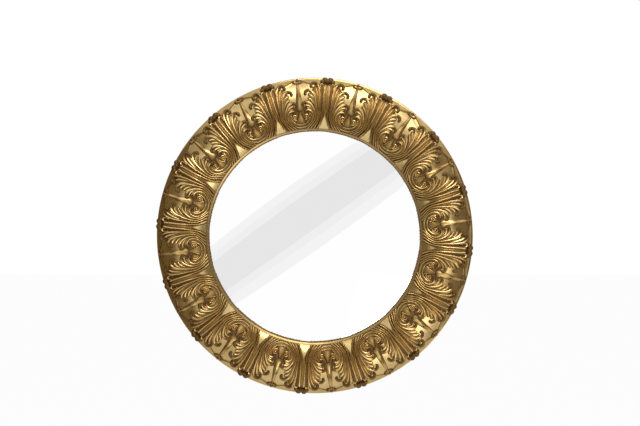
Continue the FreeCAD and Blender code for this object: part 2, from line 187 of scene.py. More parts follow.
class Carving:
    """Closed swept fingers, drawn flat and laid on the moulding, collected into one motif.
    Their feet stand BURIED deep in the face, FOOT_SHARE as wide as their backs, and a rounded
    end keeps LOW_END of the height."""

    def __init__(self):
        self.verts, self.faces, self.rubbed_and_lit = [], [], []

    def finger(self, points, widths, heights, side=1.0, sides=8, count=26, ridge=1.0, blunt=True,
               round_foot=False, shade=(0.0, 1.0), fade=0.8, backs=None):
        """widths and heights are (share of length, mm) stops. ridge 1 is a round back, 0 a sharp
        one. shade is how bright its sides and its back are painted, from 0, brown toning with
        painted shade as in a recess, to 1, a bright edge, and fade is how far up its sides that
        painted shade thins out. backs are (share of length, shade) stops that shade its back along
        the length instead. Its rounded ends are painted darker, as shade."""
        path, length = smooth_path(points, count)
        ways = np.gradient(path, axis=0)
        ways /= np.linalg.norm(ways, axis=1)[:, None]
        rows = []
        for k, (place, way) in enumerate(zip(path, ways)):
            share = k / (count - 1)
            half, tall = profile_values(widths, share), profile_values(heights, share)
            dome = 1.0
            if blunt and (1 - share) * length < half:
                dome = math.sqrt(max(0.0, 1 - (1 - (1 - share) * length / half) ** 2))
            if round_foot and share * length < half:
                dome = min(dome, math.sqrt(max(0.0, 1 - (1 - share * length / half) ** 2)))
            across, up = place[0], seated(place[1], tall)
            half *= max(dome, 0.02)
            back = profile_values(backs, share) if backs else shade[1]
            row = []
            for j in range(sides + 1):
                turn = math.pi * (j / sides - 0.5)
                rise = ridge * math.cos(turn) + (1 - ridge) * (1 - abs(math.sin(turn)))
                off = math.sin(turn) * half
                # the last value is how bright the point is painted: darker down the sides and at the
                # rounded ends, as painted shade
                row.append((across - way[1] * off, up + way[0] * off,
                            tall * rise * (LOW_END + (1 - LOW_END) * dome),
                            shade[0] + (back - shade[0]) * min(1.0, rise / fade) ** 2 * dome))
            for off in (FOOT_SHARE * half, -FOOT_SHARE * half):
                row.append((across - way[1] * off, up + way[0] * off, -BURIED, 0.0))
            rows.append(row)
        self.weave(rows, side)

    def weave(self, rows, side):
        """Joins rows of (across, up, lift, crest) points, with a cap at each end."""
        start, wide = len(self.verts), len(rows[0])
        for row in rows:
            for x, y, lift, rubbed_and_lit in row:
                self.verts.append(laid_on_face(side * x, y, lift))
                self.rubbed_and_lit.append(rubbed_and_lit)
        self.faces += woven(start, len(rows), wide) + capped(start, len(rows), wide)

    def boss(self, x, y, radius, height, side=1.0, shade=(0.0, 1.0), sides=14):
        """A round knob: a ball's upper part standing on the moulding."""
        y = seated(y, height)
        start, steps = len(self.verts), 6
        self.verts.append(laid_on_face(side * x, y, height))
        self.rubbed_and_lit.append(shade[1])
        for k in range(1, steps + 1):
            turn = math.pi / 2 * k / steps
            for j in range(sides):
                way = 2 * math.pi * j / sides
                self.verts.append(laid_on_face(side * (x + radius * math.sin(turn) * math.cos(way)),
                                               y + radius * math.sin(turn) * math.sin(way),
                                               height * math.cos(turn)
                                               - (BURIED if k == steps else 0)))
                # painted darker down its sides, as shade
                self.rubbed_and_lit.append(shade[0] + (shade[1] - shade[0]) * math.cos(turn))
        first = start + 1
        self.faces += [(start, first + (j + 1) % sides, first + j) for j in range(sides)]
        self.faces += woven(first, steps, sides) + capped(first, steps, sides)[1:]

    def ball(self, x, up, lift, radius, side=1.0, shade=(0.0, 1.0)):
        """A lobe curled over into a knob, which may stand out past the rim."""
        sides, steps = 18, 10
        lean = lean_at(CARVED_RADIUS + up)
        reach = CARVED_RADIUS + up + lift * lean
        depth = face_depth(CARVED_RADIUS + up) + lift * math.sqrt(1 - lean * lean)
        start = len(self.verts)
        for k in range(steps + 1):
            turn = math.pi * k / steps
            for j in range(sides):
                way = 2 * math.pi * j / sides
                across = side * x * reach / PITCH_RADIUS + radius * math.sin(turn) * math.cos(way)
                out = min(reach + radius * math.sin(turn) * math.sin(way), LEAF_REACH)
                self.verts.append((across * MM, -(depth + radius * math.cos(turn)) * MM, out * MM))
                # painted dark from its front round to its back, as shade
                self.rubbed_and_lit.append(shade[0] + (shade[1] - shade[0]) * max(0.0, math.cos(turn)))
        self.faces += woven(start, steps + 1, sides)


# ---- one acanthus leaf and one dart, from templates in millimetres ----
# A template's points are (across from the leaf's middle, up from the sight edge), foot to tip.
# The curl value is where each stem's back turns painted dark, as the shade of a tip curled under,
# with brown toning.
STEMS = (  # points, half widths of stem and tip, height at the tip, where it curls under
    (((20, -1), (16, 5), (11.6, 12), (8.8, 20), (7.3, 28), (6.4, 42), (5.4, 57), (5.2, 78),
      (4.8, 92), (3.2, 104)), 2.3, 2.9, 7.2, 1.0),
    (((29, -1), (24, 5.5), (17.5, 14), (13.6, 23), (12.4, 31), (12.6, 42), (13.4, 57), (14.2, 76),
      (17.0, 94), (21.0, 105.0), (27.3, 109.2), (33.6, 104.6), (33.0, 94.5)), 2.4, 3.9, 7.8, 0.74),
    (((38.5, -1), (31, 6), (24, 14), (19.0, 23), (17.8, 30), (19.2, 42), (22, 57), (25.8, 72),
      (31, 84), (38.4, 90.6), (46.4, 87.2), (46.6, 77.5)), 2.4, 4.0, 7.4, 0.78),
    (((48, -1), (38.5, 5.6), (30.4, 13.4), (24.6, 22), (23.4, 30), (25.6, 40), (31.2, 51),
      (38.2, 58.8), (46, 61.6), (53.4, 58.0), (53.8, 51)), 2.3, 3.7, 6.6, 0.78),
    (((62, 2.4), (50.5, 3.6), (39.4, 9.6), (31.8, 18), (29.2, 26), (30.6, 34), (36, 40.6),
      (43, 42.6), (49, 39.4), (49.4, 34)), 2.2, 3.1, 5.8, 0.82),
    (((62, 9.6), (52.5, 10.4), (44.4, 14.8), (39.0, 21.4), (37.4, 28), (39.6, 33.4)),
     2.0, 2.4, 5.0, 1.0),
)
SPRIGS = (  # points, half width, height at the tip
    (((6.8, 84), (6.6, 97), (9.2, 104.6), (13.6, 103.8), (14.8, 96), (13.0, 88)), 2.0, 6.8),
    (((15.4, 64), (18.6, 74), (22.9, 90), (27.4, 99)), 3.0, 6.8),
    (((20.4, 66), (25.4, 79), (31.4, 89.5)), 2.4, 6.0),
    (((26.6, 66), (33.0, 75.4), (40.8, 80.4)), 2.9, 6.2),
    (((26.4, 55), (33.4, 65.4), (42.0, 71.2)), 3.0, 6.0),
    (((29.8, 53.4), (36.0, 60.0), (42.6, 64.0)), 2.2, 5.4),
    (((31.4, 45), (38.4, 51.4), (48.6, 54.0)), 2.9, 5.6),
    (((33.0, 42), (38.0, 45.6), (45.6, 47.4)), 2.1, 5.2),
)
# The leaf between the stems is painted dark: brown toning and the painted shade between the stems.
WEBS = (  # points, half widths, heights of the thin leaf between the stems
    (((0, 30), (0, 60), (0, 90), (0, 106)), (4, 9, 12, 14), (2.0, 3.0, 4.2, 4.6)),
    (((13, 40), (17, 66), (23, 88), (28, 100)), (4, 5.5, 7.5, 7.0), (2.0, 3.0, 4.0, 4.0)),
    (((19, 36), (25, 60), (34, 76), (41, 83)), (4, 6.0, 7.5, 6.5), (2.0, 3.0, 3.8, 3.6)),
    (((26, 30), (33, 46), (41, 54), (48, 56.5)), (4, 6.0, 7.0, 5.5), (1.8, 2.4, 3.0, 3.0)),
    (((31, 24), (36, 33), (42, 37.5)), (4, 5.0, 4.5), (1.6, 2.2, 2.6)),
    (((62, 7), (48, 8.5), (36, 15), (27, 28), (21, 44)), (6, 7, 8, 8, 7),
     (1.2, 1.2, 1.4, 1.8, 2.2)),
    (((36, 4), (24, 14), (16, 28), (12, 42)), (6, 8, 8, 7), (1.2, 1.4, 1.8, 2.2)),
)
VOLUTE_CENTRE = (47.4, 27.0)
VOLUTE_RADIUS = 7.0
VOLUTE_POINTS = 15
VOLUTE_FIRST, VOLUTE_TURN = -60, -34  # degrees, of its first point and from point to point
VOLUTE_CLOSING = 0.6  # the share of its radius that it loses
CROWN_LIFT = 2.4
# The crown's knobs are painted dark, as the shade of the curled-over tips with brown toning.
CROWN_KNOBS = ((5.6, 111.0, 7.6, 0.16), (10.4, 107.6, 5.6, 0.20))  # across, up, radius, shade
# How the leaf between the stems and the eyes are painted: dark brown, toning together with painted
# shade.
RECESS = (0.0, 0.28)


def evenly(values):
    return [(k / (len(values) - 1), value) for k, value in enumerate(values)]


def leaf_half(carving, side):
    for points, thin, full, tall, curl in STEMS:
        widths = ((0, thin * 0.9), (0.25, thin * 0.9), (0.5, thin), (0.7, (thin + full) / 2),
                  (0.85, full), (1, full * 0.9))
        heights = ((0, 3.4), (0.2, 4.2), (0.45, 5.4), (0.75, tall * 0.92), (0.92, tall),
                   (1, tall * 0.9))
        # Each stem's back is painted darker towards its foot, and dark past the curl, as the shade
        # of a tip curled under.
        backs = ((0, 0.48), (0.30, 0.56), (0.5, 1.0), (curl, 1.0), (curl + 0.07, 0.2), (1.1, 0.16))
        carving.finger(points, widths, heights, side, ridge=0.85, count=52, backs=backs)
    # Sprig backs are painted darker at both ends.
    for points, full, tall in SPRIGS:
        carving.finger(points, ((0, full * 0.6), (0.6, full), (1, full)),
                       ((0, tall * 0.55), (0.8, tall), (1, tall)), side, ridge=0.85, count=24,
                       backs=((0, 0.5), (0.3, 1.0), (0.8, 1.0), (1, 0.45)))
    for points, widths, heights in WEBS[1:]:
        carving.finger(points, evenly(widths), evenly(heights), side, count=20, shade=RECESS)
    turns = []
    for k in range(VOLUTE_POINTS):
        turn = math.radians(VOLUTE_FIRST + VOLUTE_TURN * k)
        reach = VOLUTE_RADIUS * (1 - VOLUTE_CLOSING * (k / (VOLUTE_POINTS - 1)))
        turns.append((VOLUTE_CENTRE[0] + reach * math.cos(turn),
                      VOLUTE_CENTRE[1] + reach * math.sin(turn)))
    carving.finger(turns, ((0, 1.5), (0.4, 2.1), (1, 1.5)), ((0, 2.6), (0.6, 4.4), (1, 4.0)), side,
                   ridge=0.8, count=34)
    carving.boss(*VOLUTE_CENTRE, 2.6, 5.4, side)
    # A low disc under the scroll, painted dark as toning and painted shade.
    carving.boss(*VOLUTE_CENTRE, 9.5, 1.6, side, shade=RECESS, sides=20)
    # The crown's knobs are painted dark, as the shade of the curled-over tips with brown toning.
    for across, up, radius, top in CROWN_KNOBS:
        carving.ball(across, up, CROWN_LIFT, radius, side, shade=(0.0, top))


def acanthus_leaf():
    carving = Carving()
    points, widths, heights = WEBS[0]
    carving.finger(points, evenly(widths), evenly(heights), count=20, shade=RECESS)
    # The midrib's back is painted darker at both ends.
    carving.finger(((0, 33), (0, 60), (0, 80), (0, 94)), ((0, 0.8), (0.3, 1.9), (1, 2.2)),
                   ((0, 2.6), (0.4, 5.2), (1, 6.0)), ridge=0.85, count=24,
                   backs=((0, 0.5), (0.4, 0.8), (0.9, 0.8), (1, 0.3)))
    # The middle crown knob is painted dark, as the shade of the curled-over tip with brown toning.
    carving.ball(0, 109.0, CROWN_LIFT, 6.2, shade=(0.0, 0.1))
    for side in (1.0, -1.0):
        leaf_half(carving, side)
    return carving


def dart():
    carving = Carving()
    # The dart's ridge is painted darker at its foot and at its tip, as shade.
    carving.finger(((0, 36.5), (0, 60), (0, 90), (0, 118)),
                   ((0, 11.6), (0.06, 12.2), (0.2, 10.6), (0.42, 7.8), (0.62, 5.4), (1, 2.0)),
                   ((0, 4.4), (0.06, 6.0), (0.2, 7.0), (0.45, 7.8), (0.8, 6.8), (1, 5.2)),
                   ridge=0.0, blunt=False, round_foot=True, sides=12, count=30, fade=0.4,
                   backs=((0, 0.15), (0.12, 0.4), (0.35, 0.95), (0.9, 1.0), (1, 0.4)))
    # The knob at the dart's tip is painted dark, as the shade of its curl.
    carving.boss(0, 117.0, 3.4, 6.6, shade=(0.0, 0.3))
    # A low disc round the dart's foot, the eye, painted dark as toning and painted shade under the
    # scrolls.
    carving.boss(0, 25.5, 23.0, 1.3, shade=RECESS, sides=28)
    # The tongue is painted dark, a little brighter along its back.
    carving.finger(((0, 38), (0, 30), (0, 22), (0, 12.6)),
                   ((0, 4.6), (0.3, 7.0), (0.7, 11.0), (1, 13.4)),
                   ((0, 5.2), (0.5, 4.8), (1, 3.4)), ridge=0.9, blunt=False, sides=12, count=16,
                   fade=0.9, backs=((0, 0.3), (0.6, 0.42), (1, 0.3)))
    for side in (1.0, -1.0):
        carving.finger(((1.5, 110), (5.0, 109.0), (9.0, 112.4), (6.4, 115.8)),
                       ((0, 1.5), (0.5, 2.4), (1, 2.2)), ((0, 4.0), (1, 5.4)), side, count=18,
                       backs=((0, 0.5), (0.3, 0.2), (1, 0.2)))
        carving.finger(((1.2, 36), (4.4, 27), (8.4, 19), (11.4, 13.4)), ((0, 1.2), (1, 1.9)),
                       ((0, 6.0), (1, 5.0)), side, count=16, backs=((0, 0.3), (0.5, 0.8), (1, 0.7)))
    return carving


# ---- Geometry Nodes: one motif repeated about the mirror's axis ----
def round_pattern():
    tree = bpy.data.node_groups.new("repeat_round_mirror", "GeometryNodeTree")
    for name, kind in (("Motif", "NodeSocketGeometry"), ("Count", "NodeSocketInt"),
                       ("First Angle", "NodeSocketFloat"), ("Step Angle", "NodeSocketFloat"),
                       ("Join Within", "NodeSocketFloat"), ("Finish", "NodeSocketMaterial")):
        tree.interface.new_socket(name=name, in_out="INPUT", socket_type=kind)
    tree.interface.new_socket(name="Motifs", in_out="OUTPUT", socket_type="NodeSocketGeometry")
    new = tree.nodes.new
    start, end = new("NodeGroupInput"), new("NodeGroupOutput")
    points, index = new("GeometryNodePoints"), new("GeometryNodeInputIndex")
    angle, turn = new("ShaderNodeMath"), new("FunctionNodeAxisAngleToRotation")
    angle.operation = "MULTIPLY_ADD"
    turn.inputs["Axis"].default_value = (0, -1, 0)
    copies, real = new("GeometryNodeInstanceOnPoints"), new("GeometryNodeRealizeInstances")
    merge, finish = new("GeometryNodeMergeByDistance"), new("GeometryNodeSetMaterial")
    for node, output, to_node, socket in (
            (start, "Count", points, "Count"), (index, 0, angle, 0), (start, "Step Angle", angle, 1),
            (start, "First Angle", angle, 2), (angle, 0, turn, "Angle"),
            (points, 0, copies, "Points"), (start, "Motif", copies, "Instance"),
            (turn, 0, copies, "Rotation"), (copies, 0, real, 0), (real, 0, merge, "Geometry"),
            (start, "Join Within", merge, "Distance"), (merge, 0, finish, "Geometry"),
            (start, "Finish", finish, "Material"), (finish, 0, end, 0)):
        tree.links.new(node.outputs[output], to_node.inputs[socket])
    return tree


ROUND_PATTERN = round_pattern()


def repeat(piece, count, first_angle, finish, join_within=1e-6):
    """Turns a piece drawn at the top into its copies a pitch apart, as one plain mesh."""
    modifier = piece.modifiers.new("round", "NODES")
    modifier.node_group = ROUND_PATTERN
    values = {"Count": count, "First Angle": math.radians(first_angle - 90),
              "Step Angle": math.radians(PITCH_ANGLE), "Join Within": join_within, "Finish": finish}
    for item in ROUND_PATTERN.interface.items_tree:
        if item.in_out == "INPUT" and item.name in values:
            modifier[item.identifier] = values[item.name]
    piece.update_tag()
    bpy.context.view_layer.update()
    depsgraph = bpy.context.evaluated_depsgraph_get()
    mesh = bpy.data.meshes.new_from_object(piece.evaluated_get(depsgraph))
    piece.modifiers.remove(modifier)
    mesh.name = piece.name
    mesh.materials.clear()
    mesh.materials.append(finish)
    mesh.polygons.foreach_set("material_index", [0] * len(mesh.polygons))
    piece.data = mesh


# ---- materials ----
class Nodes:
    """Short calls for the nodes of one tree."""

    def __init__(self, tree):
        self.nodes, self.links = tree.nodes, tree.links

    def put(self, socket, value):
        """Feeds a socket with a value or with another node's output."""
        if hasattr(value, "is_output"):
            self.links.new(value, socket)
        elif value is not None:
            socket.default_value = value

    def math(self, operation, a, b=None, clamp=False):
        node = self.nodes.new("ShaderNodeMath")
        node.operation = operation
        node.use_clamp = clamp
        for socket, value in zip(node.inputs, (a, b)):
            self.put(socket, value)
        return node.outputs[0]


class Finish(Nodes):
    """A material with its shader and the place on the piece."""

    def __init__(self, name):
        self.material = bpy.data.materials.new(name)
        self.material.use_nodes = True
        super().__init__(self.material.node_tree)
        self.shader = self.nodes["Principled BSDF"]
        self.object = self.nodes.new("ShaderNodeTexCoord").outputs["Object"]

    def set(self, **values):
        for name, value in values.items():
            self.put(self.shader.inputs[name.replace("_", " ")], value)

    def group(self, tree, **values):
        node = self.nodes.new("ShaderNodeGroup")
        node.node_tree = tree
        for name, value in values.items():
            self.put(node.inputs[name], value)
        return node

    def attribute(self, name):
        node = self.nodes.new("ShaderNodeAttribute")
        node.attribute_name = name
        return node.outputs["Fac"]

    def follow(self, parts, distance, strength):
        """Takes colour, roughness and, as bump, height from a shared group's outputs."""
        self.set(Base_Color=parts.outputs["Color"], Roughness=parts.outputs["Roughness"])
        bump = self.nodes.new("ShaderNodeBump")
        for name, value in (("Strength", strength), ("Distance", distance),
                            ("Height", parts.outputs["Height"])):
            self.put(bump.inputs[name], value)
        self.set(Normal=bump.outputs[0])


COLOUR_A, COLOUR_B, MIXED_COLOUR = 6, 7, 2  # a mix node's sockets for colours


class Group(Nodes):
    """A shader node group with named inputs and outputs."""

    def __init__(self, name, inputs, outputs):
        self.tree = bpy.data.node_groups.new(name, "ShaderNodeTree")
        super().__init__(self.tree)
        kinds = {"v": "NodeSocketVector", "f": "NodeSocketFloat", "c": "NodeSocketColor"}
        for way, sockets in (("INPUT", inputs), ("OUTPUT", outputs)):
            for label, kind in sockets:
                self.tree.interface.new_socket(name=label, in_out=way, socket_type=kinds[kind])
        self.start = self.nodes.new("NodeGroupInput").outputs
        self.end = self.nodes.new("NodeGroupOutput").inputs

    def noise(self, vector, scale, detail, stretch=None):
        if stretch:
            mapping = self.nodes.new("ShaderNodeMapping")
            mapping.inputs["Scale"].default_value = stretch
            self.put(mapping.inputs["Vector"], vector)
            vector = mapping.outputs[0]
        node = self.nodes.new("ShaderNodeTexNoise")
        for name, value in (("Vector", vector), ("Scale", scale), ("Detail", detail),
                            ("Roughness", 0.55)):
            self.put(node.inputs[name], value)
        return node.outputs["Fac"]

    def span(self, value, low, high, to_low=0.0, to_high=1.0):
        node = self.nodes.new("ShaderNodeMapRange")
        node.interpolation_type = "SMOOTHSTEP"
        for socket, item in zip(node.inputs, (value, low, high, to_low, to_high)):
            self.put(socket, item)
        return node.outputs[0]

    def mix(self, share, a, b):
        node = self.nodes.new("ShaderNodeMix")
        node.data_type = "RGBA"
        self.put(node.inputs["Factor"], share)
        self.put(node.inputs[COLOUR_A], a)
        self.put(node.inputs[COLOUR_B], b)
        return node.outputs[MIXED_COLOUR]


def gilding_group():
    """Water gilding rubbed on its high parts, with brown toning left in the recesses; where a point
    is marked low the same dark brown is also painted shade: in recesses, down steep sides, on curled
    tips and under the carving.
    """
    g = Group("rubbed_and_shaded_gilding",
              (("Place", "v"), ("Crest", "f"), ("Gold", "c"), ("Pale", "c"), ("Glaze", "c")),
              (("Color", "c"), ("Metallic", "f"), ("Roughness", "f"), ("Height", "f")))
    place, rubbed_and_lit = g.start["Place"], g.start["Crest"]
    broad = g.noise(place, 9.0, 3.0)
    cloud = g.noise(place, 45.0, 3.0)
    fine = g.noise(place, 700.0, 3.0)
    uneven = g.math("ADD", rubbed_and_lit, g.math("MULTIPLY", g.math("SUBTRACT", cloud, 0.5), 0.25))
    # Dark brown where a point is marked low: brown toning together with painted shade.
    glaze_and_shade = g.span(uneven, 0.68, 0.10)
    speck = g.span(fine, 0.66, 0.76, 0.0, 0.15)
    glaze_and_shade = g.math("MAXIMUM", glaze_and_shade, speck)
    rubbed = g.math("MULTIPLY", g.span(uneven, 0.8, 1.05), g.span(broad, 0.35, 0.65, 0.35, 1.0))
    gold = g.mix(rubbed, g.start["Gold"], g.start["Pale"])
    g.put(g.end["Color"], g.mix(glaze_and_shade, gold, g.start["Glaze"]))
    g.put(g.end["Metallic"], g.span(glaze_and_shade, 0.0, 1.0, 0.95, 0.62))
    rough = g.math("ADD", g.span(glaze_and_shade, 0.0, 1.0, 0.26, 0.52), g.math("MULTIPLY", cloud, 0.10))
    g.put(g.end["Roughness"], rough)
    g.put(g.end["Height"],
          g.math("ADD", g.math("MULTIPLY", cloud, 0.6), g.math("MULTIPLY", fine, 0.4)))
    return g.tree


RUBBED_AND_SHADED_GILDING = gilding_group()
GOLD = (0.43, 0.290, 0.102, 1)
PALE_GOLD = (0.70, 0.53, 0.26, 1)
LEAF_GOLD = (0.51, 0.338, 0.122, 1)
PALE_LEAF_GOLD = (0.88, 0.66, 0.31, 1)
# The dark brown of the toning, which also serves as painted shade in recesses and on steep sides.
GLAZE_AND_SHADE = (0.115, 0.057, 0.010, 1)


def gilt(name, gold, pale):
    f = Finish(name)
    parts = f.group(RUBBED_AND_SHADED_GILDING, Place=f.object, Crest=f.attribute("rubbed_and_lit"), Gold=gold,
                    Pale=pale, Glaze=GLAZE_AND_SHADE)
    f.set(Metallic=parts.outputs["Metallic"])
    f.follow(parts, 0.0001, 0.3)
    return f.material


def sawn_wood_group():
    """Wood or board whose grain runs along the first axis of Place."""
    g = Group("sawn_wood",
              (("Place", "v"), ("Light", "c"), ("Dark", "c"), ("Tone", "f"), ("Roughness", "f")),
              (("Color", "c"), ("Roughness", "f"), ("Height", "f")))
    place = g.start["Place"]
    figure = g.noise(place, 22.0, 3.0, stretch=(0.25, 2.2, 2.2))
    pores = g.noise(place, 160.0, 4.0, stretch=(0.12, 2.4, 2.4))
    stain = g.noise(place, 7.0, 2.0)
    share = g.math("ADD", g.span(figure, 0.35, 0.65, 0.0, 0.6), g.span(pores, 0.45, 0.7, 0.0, 0.4))
    share = g.math("ADD", share, g.math("SUBTRACT", 0.5, g.start["Tone"]), clamp=True)
    color = g.mix(share, g.start["Light"], g.start["Dark"])
    grime = g.span(stain, 0.52, 0.75, 0.0, 0.35)
    g.put(g.end["Color"], g.mix(grime, color, g.start["Dark"]))
    g.put(g.end["Roughness"], g.math("ADD", g.start["Roughness"], g.math("MULTIPLY", pores, 0.15)))
    g.put(g.end["Height"], g.math("ADD", pores, g.math("MULTIPLY", figure, 0.5)))
    return g.tree


def worn_surface_group():
    """A plain surface with scuffs, dull patches and a fine tooth."""
    g = Group("worn_surface",
              (("Place", "v"), ("Base", "c"), ("Worn", "c"), ("Smooth", "f"), ("Dull", "f"),
               ("Tooth", "f")),
              (("Color", "c"), ("Roughness", "f"), ("Height", "f")))
    place = g.start["Place"]
    patch = g.noise(place, 140.0, 4.0)
    scuff = g.noise(place, 900.0, 3.0, stretch=(1.0, 1.0, 0.12))
    tooth = g.noise(place, g.start["Tooth"], 3.0)
    wear = g.span(patch, 0.45, 0.68)
    wear = g.math("MAXIMUM", wear, g.span(scuff, 0.62, 0.72, 0.0, 0.8))
    g.put(g.end["Color"], g.mix(wear, g.start["Base"], g.start["Worn"]))
    g.put(g.end["Roughness"], g.span(wear, 0.0, 1.0, g.start["Smooth"], g.start["Dull"]))
    g.put(g.end["Height"], g.math("ADD", tooth, g.math("MULTIPLY", scuff, 0.4)))
    return g.tree


SAWN_WOOD = sawn_wood_group()
WORN_SURFACE = worn_surface_group()


def wooden(name, light, dark, roughness, bump=0.0002, round_ring=False):
    f = Finish(name)
    place, tone = f.object, 0.5
    if round_ring:
        place, tone = grain_round_ring(f)
    parts = f.group(SAWN_WOOD, Place=place, Light=light, Dark=dark, Tone=tone, Roughness=roughness)
    f.follow(parts, bump, 0.6)
    return f.material


RING_SEGMENTS = 8
GRAIN_LENGTH = 0.25  # metres of grain along a segment
GRAIN_SHIFT = (3.7, 0.61)  # metres along and across the grain, from one segment to the next
GLUE_LINE = 0.4985  # its share of a segment, from the middle
GLUE_TONE = -0.6


def grain_round_ring(f):
    """The ring is glued up from segments: the grain runs along each, and each has its own tone."""
    split = f.nodes.new("ShaderNodeSeparateXYZ")
    f.put(split.inputs[0], f.object)
    across, out, up = split.outputs
    turn = f.math("DIVIDE", f.math("ARCTAN2", up, across), 2 * math.pi / RING_SEGMENTS)
    segment = f.math("FLOOR", turn)
    squares = f.math("ADD", f.math("POWER", across, 2.0), f.math("POWER", up, 2.0))
    radius = f.math("POWER", squares, 0.5)
    joined = f.nodes.new("ShaderNodeCombineXYZ")
    for k, place in enumerate((f.math("MULTIPLY", turn, GRAIN_LENGTH), radius)):
        shift = f.math("MULTIPLY", segment, GRAIN_SHIFT[k])
        f.put(joined.inputs[k], f.math("ADD", place, shift))
    f.put(joined.inputs[2], out)
    tone = f.math("MULTIPLY", f.math("FRACT", f.math("MULTIPLY", segment, 0.618)), 0.5)
    from_middle = f.math("ABSOLUTE", f.math("SUBTRACT", f.math("FRACT", turn), 0.5))
    joint = f.math("MULTIPLY", f.math("GREATER_THAN", from_middle, GLUE_LINE), GLUE_TONE)
    return joined.outputs[0], f.math("ADD", f.math("ADD", tone, 0.25), joint)


def worn(name, base, worn_color, smooth, dull, metallic=0.0, tooth=1500.0, bump=0.00005):
    f = Finish(name)
    f.set(Metallic=metallic)
    parts = f.group(WORN_SURFACE, Place=f.object, Base=base, Worn=worn_color, Smooth=smooth,
                    Dull=dull, Tooth=tooth)
    f.follow(parts, bump, 0.5)
    return f.material


gilt_leaf = gilt("rubbed_and_shaded_gold_on_composition", LEAF_GOLD, PALE_LEAF_GOLD)
gilt_ring = gilt("rubbed_and_shaded_gold_on_wood", GOLD, PALE_GOLD)
raw_wood = wooden("bare_wood_back", (0.60, 0.41, 0.22, 1), (0.33, 0.19, 0.085, 1), 0.6,
                  round_ring=True)
silvered = Finish("silvered_glass")
silvered.set(Base_Color=(0.99, 0.99, 0.99, 1), Roughness=0.015, Metallic=1.0)


# ---- leaves and darts ----
def motif_piece(name, carving, count, first_angle, node, finish=gilt_leaf):
    piece = piece_from(name, carving.verts, carving.faces, carving.rubbed_and_lit, 60)
    repeat(piece, count, first_angle, finish)
    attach(piece, "mirror")
    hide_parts(node)


LEAF_GROUPS = 4
GROUP_LEAVES = LEAF_COUNT // LEAF_GROUPS
for k in range(LEAF_GROUPS):
    motif_piece("acanthus_leaves_%d" % (k + 1), acanthus_leaf(), GROUP_LEAVES,
                FIRST_LEAF_ANGLE + k * GROUP_LEAVES * PITCH_ANGLE, "acanthus_leaves")
motif_piece("darts", dart(), LEAF_COUNT, FIRST_LEAF_ANGLE + PITCH_ANGLE / 2, "dart_leaves")


# ---- moulding ring ----
PANEL_RISE = 2.4
PANEL_START, PANEL_FULL = 36.0, 66.0  # up from the sight edge
PANEL_AT_DART, ROOF_WIDTH = 0.35, 24.0
SCALLOP_LOW, SCALLOP_RISE, SCALLOP_FLAT = 101.0, 15.0, 0.20
BEAD = 0.8
COLUMNS = 64


def scallop_up(share):
    """How far up from the sight edge the panel ends, at a share of the pitch from the leaf."""
    to_dart = max(0.0, (abs(share) - SCALLOP_FLAT) / (0.5 - SCALLOP_FLAT))
    return SCALLOP_LOW + SCALLOP_RISE * to_dart ** 1.8


def panel_lift(share, up):
    """The raised panel, roof-shaped between two darts and lower at each."""
    from_dart = (0.5 - abs(share)) * PITCH
    roof = PANEL_AT_DART + (1 - PANEL_AT_DART) * min(1.0, from_dart / ROOF_WIDTH)
    inner = min(1.0, max(0.0, (up - PANEL_START) / (PANEL_FULL - PANEL_START)))
    return PANEL_RISE * roof * inner


# half widths, at places up from the sight edge, of the bare triangle and of the leaf's painted
# shadow
TRIANGLE = (0, 4.5, 12, 20, 28), (14.5, 12.0, 7.5, 4.4, 1.0)
LEAF_SHADOW = (30, 48, 52, 65, 75, 85, 95, 105, 112), (62, 62, 46, 38, 37, 34, 26, 22, 12)


def ground_rubbed_and_lit(share, up):
    """The bare face is rubbed bright, but under the leaf and the scrolls it is painted dark, as
    brown toning and as the shade that they cast.
    """
    across = abs(share) * PITCH
    if across < np.interp(up, *TRIANGLE) and up < TRIANGLE[0][-1]:
        return 0.98
    leaf = np.interp(up, *LEAF_SHADOW)
    return float(np.interp(across, (leaf, leaf + 5.0), (0.1, 0.94))) if up < 113 else 0.94


